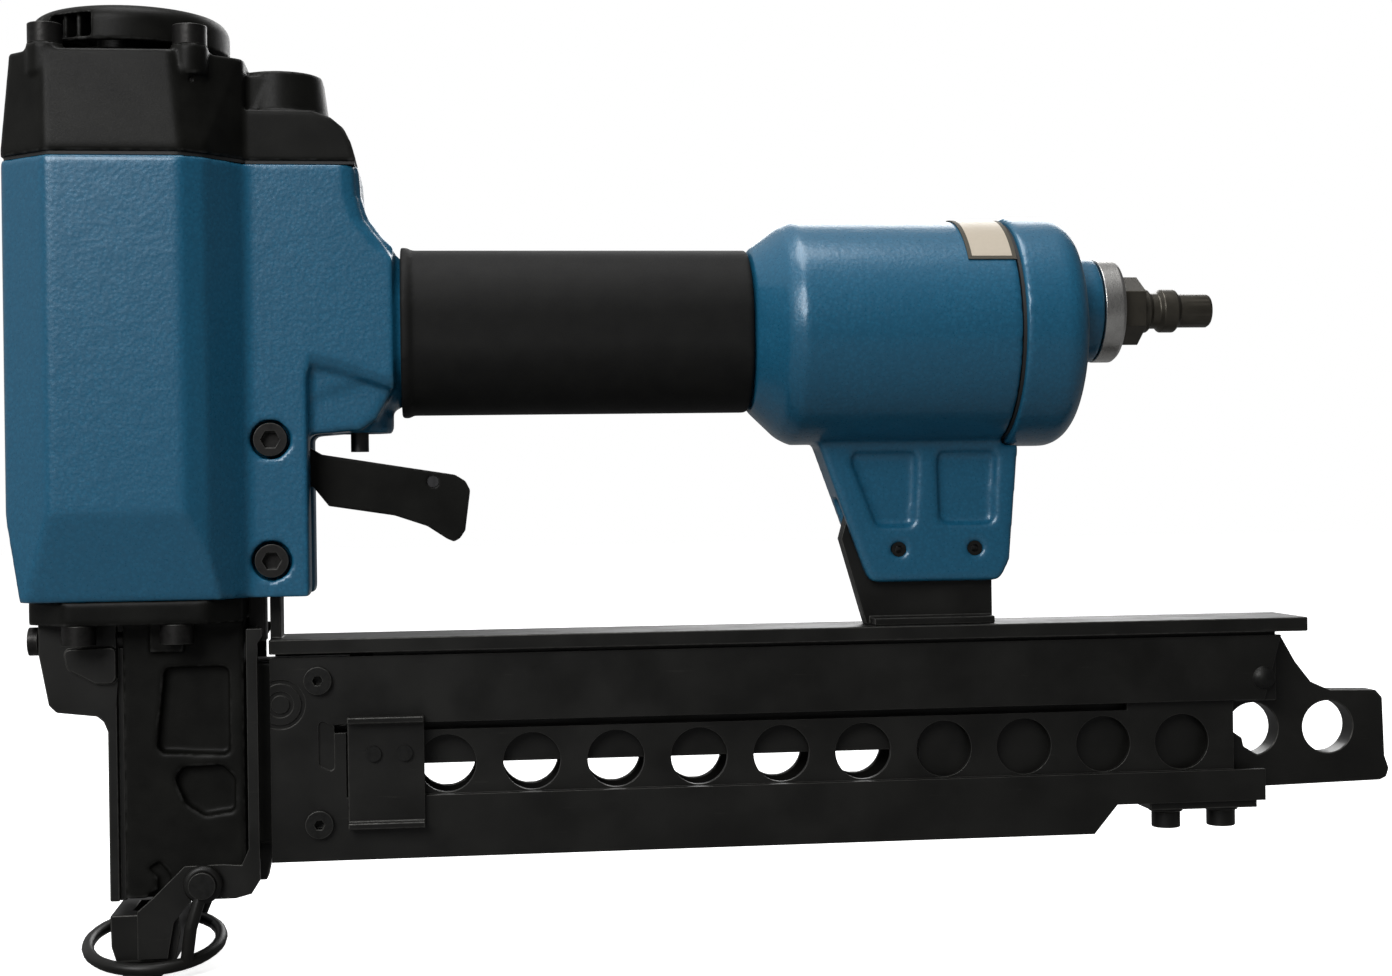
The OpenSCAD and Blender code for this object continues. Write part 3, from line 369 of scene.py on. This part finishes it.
def moulded_plastic():
    material = new_material("valve plastic", specular_ior_level=0.4)
    clouds = grain(material, 4 * MM, 3)
    finish_surface(material, mix_colour(material, clouds, (0.62, 0.58, 0.48), (0.52, 0.48, 0.38)),
                   ramp(material, clouds, 0.3, 0.7, 0.4, 0.5))
    bump(material, [(grain(material, 0.5 * MM, 2), 0.01 * MM, 0.3)])
    return material


MATERIALS = {}


def slot_material(slot):
    """The finish of one of the record's material slots, built once."""
    colours = bpy.context.scene.stapler_colours
    makers = {
        "paint": lambda: hammertone_paint(colours),
        "black_casting": lambda: black_casting(colours),
        "gasket": lambda: soft_seal("gasket", (0.010, 0.010, 0.010)),
        "socket_screws": lambda: rubbed_steel("socket screws", (0.028, 0.027, 0.026), 0.34),
        "honed_steel": lambda: turned_metal("honed steel", (0.56, 0.56, 0.58), 0.22, (1, 1, 12)),
        "seal_rubber": lambda: soft_seal("seal rubber", (0.012, 0.012, 0.012)),
        "bumper_rubber": lambda: soft_seal("bumper rubber", (0.05, 0.035, 0.02)),
        "grip_rubber": lambda: grip_rubber(colours),
        "bright_aluminium": lambda: turned_metal(
            "turned aluminium", tuple(colours.aluminium), 0.24, (12, 1, 1)),
        "bronzed_steel": lambda: turned_metal(
            "bronzed steel", tuple(colours.bronze), 0.30, (10, 1, 1), 0.7),
        "label_blank": lambda: label_face(colours),
        "brass": lambda: turned_metal("brass", (0.62, 0.42, 0.16), 0.28, (1, 1, 10)),
        "spring_steel": lambda: rubbed_steel("spring steel", (0.36, 0.35, 0.33), 0.28, 1.0),
        "blackened_steel": lambda: blackened_steel(colours),
        "dark_fasteners": lambda: rubbed_steel("dark fasteners", (0.024, 0.024, 0.023), 0.38),
        "ground_steel": lambda: turned_metal("ground steel", (0.07, 0.07, 0.072), 0.34, (1, 1, 0.1)),
        "trigger_black": lambda: black_casting(colours),
        "valve_plastic": moulded_plastic,
        "label_border": lambda: soft_seal("label border", (0.035, 0.03, 0.02)),
        "bare_edge": lambda: rubbed_steel("rubbed edge", (0.055, 0.054, 0.050), 0.36, 0.5),
    }
    if slot not in MATERIALS:
        MATERIALS[slot] = makers[slot]()
    return MATERIALS[slot]


# ---------------------------------------------------------------- mesh building

def deselect():
    if bpy.context.object and bpy.context.object.mode != "OBJECT":
        bpy.ops.object.mode_set(mode="OBJECT")
    bpy.ops.object.select_all(action="DESELECT")


def activate(piece):
    deselect()
    piece.select_set(True)
    bpy.context.view_layer.objects.active = piece


def modify(piece, kind, **settings):
    """Adds one modifier and applies it."""
    activate(piece)
    modifier = piece.modifiers.new(kind.title(), kind)
    for key, value in settings.items():
        setattr(modifier, key, value)
    bpy.ops.object.modifier_apply(modifier=modifier.name)


def merged_copy(name, node):
    """A copy of a CAD node without its materials, with its loose triangles merged."""
    piece = bpy.data.objects.new(name, NODES[node].data.copy())
    bpy.context.scene.collection.objects.link(piece)
    activate(piece)
    bpy.ops.object.mode_set(mode="EDIT")
    bpy.ops.mesh.select_all(action="SELECT")
    bpy.ops.mesh.remove_doubles(threshold=WELD)
    bpy.ops.object.mode_set(mode="OBJECT")
    bpy.ops.mesh.customdata_custom_splitnormals_clear()
    piece.name = name
    piece.data.name = name
    piece.data.materials.clear()
    return piece


def cast(piece, voxel, smooth, keep):
    """Soft fillets of a casting: rebuilt in small cells, smoothed, then thinned out."""
    modify(piece, "REMESH", mode="VOXEL", voxel_size=voxel, adaptivity=0)
    modify(piece, "SMOOTH", factor=0.5, iterations=smooth)
    modify(piece, "DECIMATE", decimate_type="COLLAPSE", ratio=keep)
    activate(piece)
    bpy.ops.object.shade_smooth()


def machined(piece, width, segments=2, rubbed=True):
    """Flat faces made whole, and every sharp edge bevelled."""
    activate(piece)
    bpy.ops.object.mode_set(mode="EDIT")
    bpy.ops.mesh.select_all(action="SELECT")
    bpy.ops.mesh.dissolve_limited(angle_limit=FLAT)
    bpy.ops.object.mode_set(mode="OBJECT")
    bpy.ops.object.shade_smooth_by_angle(angle=CREASE)
    modify(piece, "BEVEL", width=width, segments=segments, limit_method="ANGLE", angle_limit=BEVEL_FROM,
           use_clamp_overlap=False, material=1 if rubbed else -1, harden_normals=True)


def select_where(piece, test):
    """Selects, in edit mode, the vertices whose place passes the test."""
    mesh = bmesh.from_edit_mesh(piece.data)
    for vertex in mesh.verts:
        vertex.select_set(test(vertex.co))
    mesh.select_flush_mode()
    bmesh.update_edit_mesh(piece.data)


def face_out(piece):
    """Turns every face's normal outwards."""
    activate(piece)
    bpy.ops.object.mode_set(mode="EDIT")
    bpy.ops.mesh.select_all(action="SELECT")
    bpy.ops.mesh.normals_make_consistent(inside=False)
    bpy.ops.object.mode_set(mode="OBJECT")


def hand_over(piece, slot, node):
    """Gives a finished piece its material, and the body and the place of the CAD node that it stands for."""
    if not piece.data.materials:
        piece.data.materials.append(slot_material(slot))
    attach(piece, BODY_OF[node])
    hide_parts(node)


def cast_piece(name, node, voxel, smooth, keep):
    piece = merged_copy(name, node)
    cast(piece, voxel, smooth, keep)
    hand_over(piece, SLOT_OF[node], node)


def machined_piece(name, node, width, segments=2, rubbed=True):
    piece = merged_copy(name, node)
    piece.data.materials.append(slot_material(SLOT_OF[node]))
    if rubbed:
        piece.data.materials.append(slot_material("bare_edge"))
    machined(piece, width, segments, rubbed)
    hand_over(piece, SLOT_OF[node], node)


# ---------------------------------------------------------------- operators

class STAPLER_OT_inner_parts(bpy.types.Operator):
    """Gives the CAD nodes that stay as they are their finishes"""
    bl_idname = "stapler.inner_parts"
    bl_label = "Inner parts"

    def execute(self, context):
        for node, piece in NODES.items():
            piece.data.materials[0] = slot_material(SLOT_OF[node])
        return {"FINISHED"}


class STAPLER_OT_painted_castings(bpy.types.Operator):
    """Body casting and end cap in hammertone paint, with cast fillets"""
    bl_idname = "stapler.painted_castings"
    bl_label = "Painted castings"

    def execute(self, context):
        edges = context.scene.stapler_edges
        cast_piece("painted_body", "body_casting", edges.cast_voxel, smooth=4, keep=0.42)
        cast_piece("reservoir_end", "end_cap", edges.cast_voxel, smooth=6, keep=0.6)
        return {"FINISHED"}


class STAPLER_OT_black_castings(bpy.types.Operator):
    """Cylinder cap, nose and trigger, with cast fillets"""
    bl_idname = "stapler.black_castings"
    bl_label = "Black castings"

    def execute(self, context):
        edges = context.scene.stapler_edges
        cast_piece("black_cap", "cylinder_cap", edges.small_voxel, smooth=3, keep=0.5)
        cast_piece("nose_casting", "nose_base", edges.small_voxel, smooth=3, keep=0.5)
        cast_piece("trigger_lever", "trigger", 0.4 * MM, smooth=4, keep=0.6)
        return {"FINISHED"}


class STAPLER_OT_deflector(bpy.types.Operator):
    """Exhaust deflector with rounded edges"""
    bl_idname = "stapler.deflector"
    bl_label = "Exhaust deflector"

    def execute(self, context):
        cast_piece("exhaust_dome", "exhaust_deflector", 0.45 * MM, smooth=3, keep=0.5)
        return {"FINISHED"}


class STAPLER_OT_grip(bpy.types.Operator):
    """Rubber sleeve of the grip"""
    bl_idname = "stapler.grip"
    bl_label = "Grip"

    def execute(self, context):
        cast_piece("grip_cover", "grip_sleeve", 0.7 * MM, smooth=4, keep=0.5)
        return {"FINISHED"}


class STAPLER_OT_magazine(bpy.types.Operator):
    """Side plates, rails, strip and brackets of the magazine"""
    bl_idname = "stapler.magazine"
    bl_label = "Magazine"

    def execute(self, context):
        edge = context.scene.stapler_edges.sheet_edge
        for name, node in (("plate_left", "left_side_plate"), ("plate_right", "right_side_plate"),
                           ("channel_rail", "top_rail"), ("floor_strip", "bottom_strip"),
                           ("core_rail", "guide_rail"), ("tail_block", "tail_bracket"),
                           ("rear_hanger", "rear_bracket"), ("pusher_shoe", "pusher"),
                           ("pusher_grip", "pusher_handle"), ("tail_feet", "tail_studs")):
            machined_piece(name, node, 0.12 * MM if node == "left_side_plate" else edge)
        return {"FINISHED"}


class STAPLER_OT_nose_parts(bpy.types.Operator):
    """Front plate, contact foot and contact arm"""
    bl_idname = "stapler.nose_parts"
    bl_label = "Nose parts"

    def execute(self, context):
        edge = context.scene.stapler_edges.sheet_edge
        machined_piece("nose_cover", "front_plate", edge)
        machined_piece("nose_foot", "contact_foot", edge)
        machined_piece("contact_strip", "contact_arm", 0.2 * MM)
        return {"FINISHED"}


class STAPLER_OT_wire_loop(bpy.types.Operator):
    """Bent wire of the contact foot"""
    bl_idname = "stapler.wire_loop"
    bl_label = "Wire loop"

    def execute(self, context):
        piece = merged_copy("foot_wire", "contact_wire")
        activate(piece)
        bpy.ops.object.shade_smooth_by_angle(angle=math.radians(40))
        hand_over(piece, "blackened_steel", "contact_wire")
        return {"FINISHED"}


class STAPLER_OT_inlet(bpy.types.Operator):
    """Inlet bushing and air plug"""
    bl_idname = "stapler.inlet"
    bl_label = "Air inlet"

    def execute(self, context):
        edge = context.scene.stapler_edges.turned_edge
        machined_piece("inlet_ring", "inlet_bushing", edge, segments=3, rubbed=False)
        machined_piece("hose_plug", "air_plug", edge, segments=2, rubbed=False)
        return {"FINISHED"}


class STAPLER_OT_fasteners(bpy.types.Operator):
    """Screws, rivets and pins"""
    bl_idname = "stapler.fasteners"
    bl_label = "Fasteners"

    def execute(self, context):
        for name, node in (("cap_socket_screws", "cap_screws"), ("trigger_socket_screws", "trigger_screws"),
                           ("flange_socket_bolts", "flange_bolts"), ("front_socket_screws", "front_screws"),
                           ("plate_pan_screws", "plate_screws"), ("rail_rivet_heads", "rail_rivets"),
                           ("eye_pan_screws", "eye_screws"), ("deflector_button", "deflector_screw")):
            machined_piece(name, node, 0.2 * MM)
        return {"FINISHED"}


class STAPLER_OT_springs(bpy.types.Operator):
    """Coil springs, copied from their CAD nodes and shaded smooth"""
    bl_idname = "stapler.springs"
    bl_label = "Coil springs"

    def execute(self, context):
        for joint in BEHAVIOUR["joints"]:
            for spring in joint.get("deforming_nodes", ()):
                node, fixed = spring["node"], spring["fixed_end_z_m"]
                piece = merged_copy(node.replace("spring", "coil"), node)
                activate(piece)
                bpy.ops.object.shade_smooth()
                hand_over(piece, "spring_steel", node)
                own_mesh(piece)
        return {"FINISHED"}


class STAPLER_OT_label(bpy.types.Operator):
    """Blank label bent round the reservoir, with a dark border"""
    bl_idname = "stapler.label"
    bl_label = "Label"

    def execute(self, context):
        low, high = (Vector(corner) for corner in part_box("label_plate"))
        radius = RESERVOIR_R + LABEL_LIFT
        start = math.asin((low.z - RESERVOIR_Z + LABEL_MARGIN) / radius)
        sweep = math.acos(-high.y / radius) - start
        bpy.ops.mesh.primitive_plane_add(size=1, location=(0, 0, 0))
        piece = context.object
        piece.name = piece.data.name = "reservoir_label"
        activate(piece)
        bpy.ops.object.mode_set(mode="EDIT")
        select_where(piece, lambda co: co.y > 0)
        bpy.ops.mesh.delete(type="VERT")
        bpy.ops.mesh.select_all(action="SELECT")
        bpy.ops.transform.resize(value=(high.x - low.x - LABEL_TRIM, 0, 0), center_override=(0, 0, 0))
        bpy.ops.transform.translate(value=(
            (low.x + high.x) / 2, -radius * math.cos(start), RESERVOIR_Z + radius * math.sin(start)))
        bpy.ops.mesh.spin(steps=LABEL_STEPS, angle=sweep, center=(0, 0, RESERVOIR_Z), axis=(1, 0, 0))
        bpy.ops.mesh.select_all(action="SELECT")
        bpy.ops.mesh.normals_make_consistent(inside=False)
        bpy.ops.mesh.select_mode(type="FACE")
        bpy.ops.mesh.inset(thickness=LABEL_BORDER, depth=0)
        bpy.ops.mesh.select_all(action="INVERT")
        piece.data.materials.append(slot_material("label_blank"))
        piece.data.materials.append(slot_material("label_border"))
        piece.active_material_index = 1
        bpy.ops.object.material_slot_assign()
        bpy.ops.object.mode_set(mode="OBJECT")
        modify(piece, "SOLIDIFY", thickness=LABEL_THICKNESS, offset=0)
        face_out(piece)
        activate(piece)
        bpy.ops.object.shade_smooth_by_angle(angle=math.radians(35))
        hand_over(piece, "label_blank", "label_plate")
        return {"FINISHED"}


class STAPLER_OT_stage(bpy.types.Operator):
    """Pale floor, soft light and the camera"""
    bl_idname = "stapler.stage"
    bl_label = "Stage"

    def execute(self, context):
        settings = context.scene.stapler_stage
        deselect()
        bpy.ops.mesh.primitive_plane_add(size=settings.floor_size, location=(0, 0, CAD_BOX[0][2]))
        floor = context.object
        floor.name = "floor"
        material = new_material("pale floor")
        speckle = grain(material, 4 * MM, 2)
        seen = add(material, "LightPath").outputs["Is Camera Ray"]
        pale = mix_colour(material, speckle, tuple(settings.floor), (0.88, 0.88, 0.88))
        finish_surface(material, mix_colour(material, seen, (0.16, 0.16, 0.16), pale),
                       ramp(material, speckle, 0, 1, 0.75, 0.85))
        shader(material).inputs["Emission Color"].default_value = (1, 1, 1, 1)
        join(material, ramp(material, seen, 0, 1, 0, 0.75), shader(material).inputs["Emission Strength"])
        floor.data.materials.append(material)
        self.light_world(context.scene, settings)
        self.add_light("key", (-0.45, -1.1, 0.8), settings.key_power)
        self.add_light("top", (0.0, -0.1, 1.3), settings.top_power)
        self.add_light("fill", (0.5, 1.1, 0.7), settings.fill_power)
        self.add_camera(context.scene, settings)
        return {"FINISHED"}

    def light_world(self, scene, settings):
        """White to the camera, and to everything else bright above and to the left, and dim elsewhere."""
        world = bpy.data.worlds.new("studio")
        world.use_nodes = True
        scene.world = world
        tree = world.node_tree
        background = tree.nodes["Background"]
        place = tree.nodes.new("ShaderNodeTexCoord")
        tilt = tree.nodes.new("ShaderNodeVectorMath")
        tilt.operation = "DOT_PRODUCT"
        tilt.inputs[1].default_value = Vector(SKY_TILT).normalized()
        fall = tree.nodes.new("ShaderNodeMapRange")
        fall.interpolation_type = "SMOOTHSTEP"
        fall.inputs["From Min"].default_value = 0.1
        fall.inputs["From Max"].default_value = 0.95
        fall.inputs["To Min"].default_value = settings.sky_low
        fall.inputs["To Max"].default_value = settings.sky_high
        seen = tree.nodes.new("ShaderNodeLightPath")
        pick = tree.nodes.new("ShaderNodeMix")
        pick.inputs[MIX_B].default_value = 1.0
        tree.links.new(place.outputs["Generated"], tilt.inputs[0])
        tree.links.new(tilt.outputs["Value"], fall.inputs["Value"])
        tree.links.new(seen.outputs["Is Camera Ray"], pick.inputs[MIX_FACTOR])
        tree.links.new(fall.outputs["Result"], pick.inputs[MIX_A])
        tree.links.new(pick.outputs[0], background.inputs["Strength"])
        background.inputs["Color"].default_value = (1, 1, 1, 1)

    def add_light(self, name, place, power):
        """A round area light that looks at the tool."""
        light = bpy.data.lights.new(name, "AREA")
        light.shape = "DISK"
        light.size = LIGHT_SIZE
        light.energy = power
        lamp = bpy.data.objects.new(name, light)
        lamp.location = place
        lamp.rotation_euler = (Vector(LIGHT_TARGET) - Vector(place)).to_track_quat("-Z", "Y").to_euler()
        bpy.context.scene.collection.objects.link(lamp)

    def add_camera(self, scene, settings):
        forward = Vector((math.sin(settings.camera_yaw), math.cos(settings.camera_yaw), 0))
        right = forward.cross(Vector((0, 0, 1)))
        up = Vector((0, 0, 1))
        turn, lift = math.cos(settings.camera_roll), math.sin(settings.camera_roll)
        right, up = right * turn - up * lift, right * lift + up * turn
        lens = bpy.data.cameras.new("camera")
        lens.lens = settings.lens
        lens.sensor_width = SENSOR_WIDTH
        lens.clip_start = 0.01
        camera = bpy.data.objects.new("camera", lens)
        camera.matrix_world = Matrix((
            (right.x, up.x, -forward.x, settings.camera_place[0]),
            (right.y, up.y, -forward.y, settings.camera_place[1]),
            (right.z, up.z, -forward.z, settings.camera_place[2]),
            (0, 0, 0, 1)))
        scene.collection.objects.link(camera)
        scene.camera = camera
        scene.view_settings.view_transform = "Standard"


class STAPLER_PT_panel(bpy.types.Panel):
    """Colours, sizes and pieces of the stapler"""
    bl_idname = "STAPLER_PT_panel"
    bl_label = "Pneumatic stapler"
    bl_space_type = "VIEW_3D"
    bl_region_type = "UI"
    bl_category = "Stapler"

    def draw(self, context):
        scene = context.scene
        for group in (scene.stapler_colours, scene.stapler_edges, scene.stapler_stage):
            box = self.layout.box()
            for name in group.bl_rna.properties.keys():
                if name not in ("rna_type", "name"):
                    box.prop(group, name)
        for operator in OPERATORS:
            self.layout.operator(operator.bl_idname)


OPERATORS = (
    STAPLER_OT_inner_parts,
    STAPLER_OT_painted_castings,
    STAPLER_OT_black_castings,
    STAPLER_OT_deflector,
    STAPLER_OT_grip,
    STAPLER_OT_magazine,
    STAPLER_OT_nose_parts,
    STAPLER_OT_wire_loop,
    STAPLER_OT_inlet,
    STAPLER_OT_fasteners,
    STAPLER_OT_springs,
    STAPLER_OT_label,
    STAPLER_OT_stage,
)
GROUPS = (FinishColours, EdgeSizes, StageSettings)


def register():
    for group in GROUPS:
        bpy.utils.register_class(group)
    for operator in OPERATORS:
        bpy.utils.register_class(operator)
    bpy.utils.register_class(STAPLER_PT_panel)
    bpy.types.Scene.stapler_colours = bpy.props.PointerProperty(type=FinishColours)
    bpy.types.Scene.stapler_edges = bpy.props.PointerProperty(type=EdgeSizes)
    bpy.types.Scene.stapler_stage = bpy.props.PointerProperty(type=StageSettings)


def unregister():
    del bpy.types.Scene.stapler_stage
    del bpy.types.Scene.stapler_edges
    del bpy.types.Scene.stapler_colours
    bpy.utils.unregister_class(STAPLER_PT_panel)
    for operator in reversed(OPERATORS):
        bpy.utils.unregister_class(operator)
    for group in reversed(GROUPS):
        bpy.utils.unregister_class(group)


def main():
    register()
    for operator in OPERATORS:
        area, name = operator.bl_idname.split(".")
        getattr(getattr(bpy.ops, area), name)()


if __name__ == "__main__":
    main()
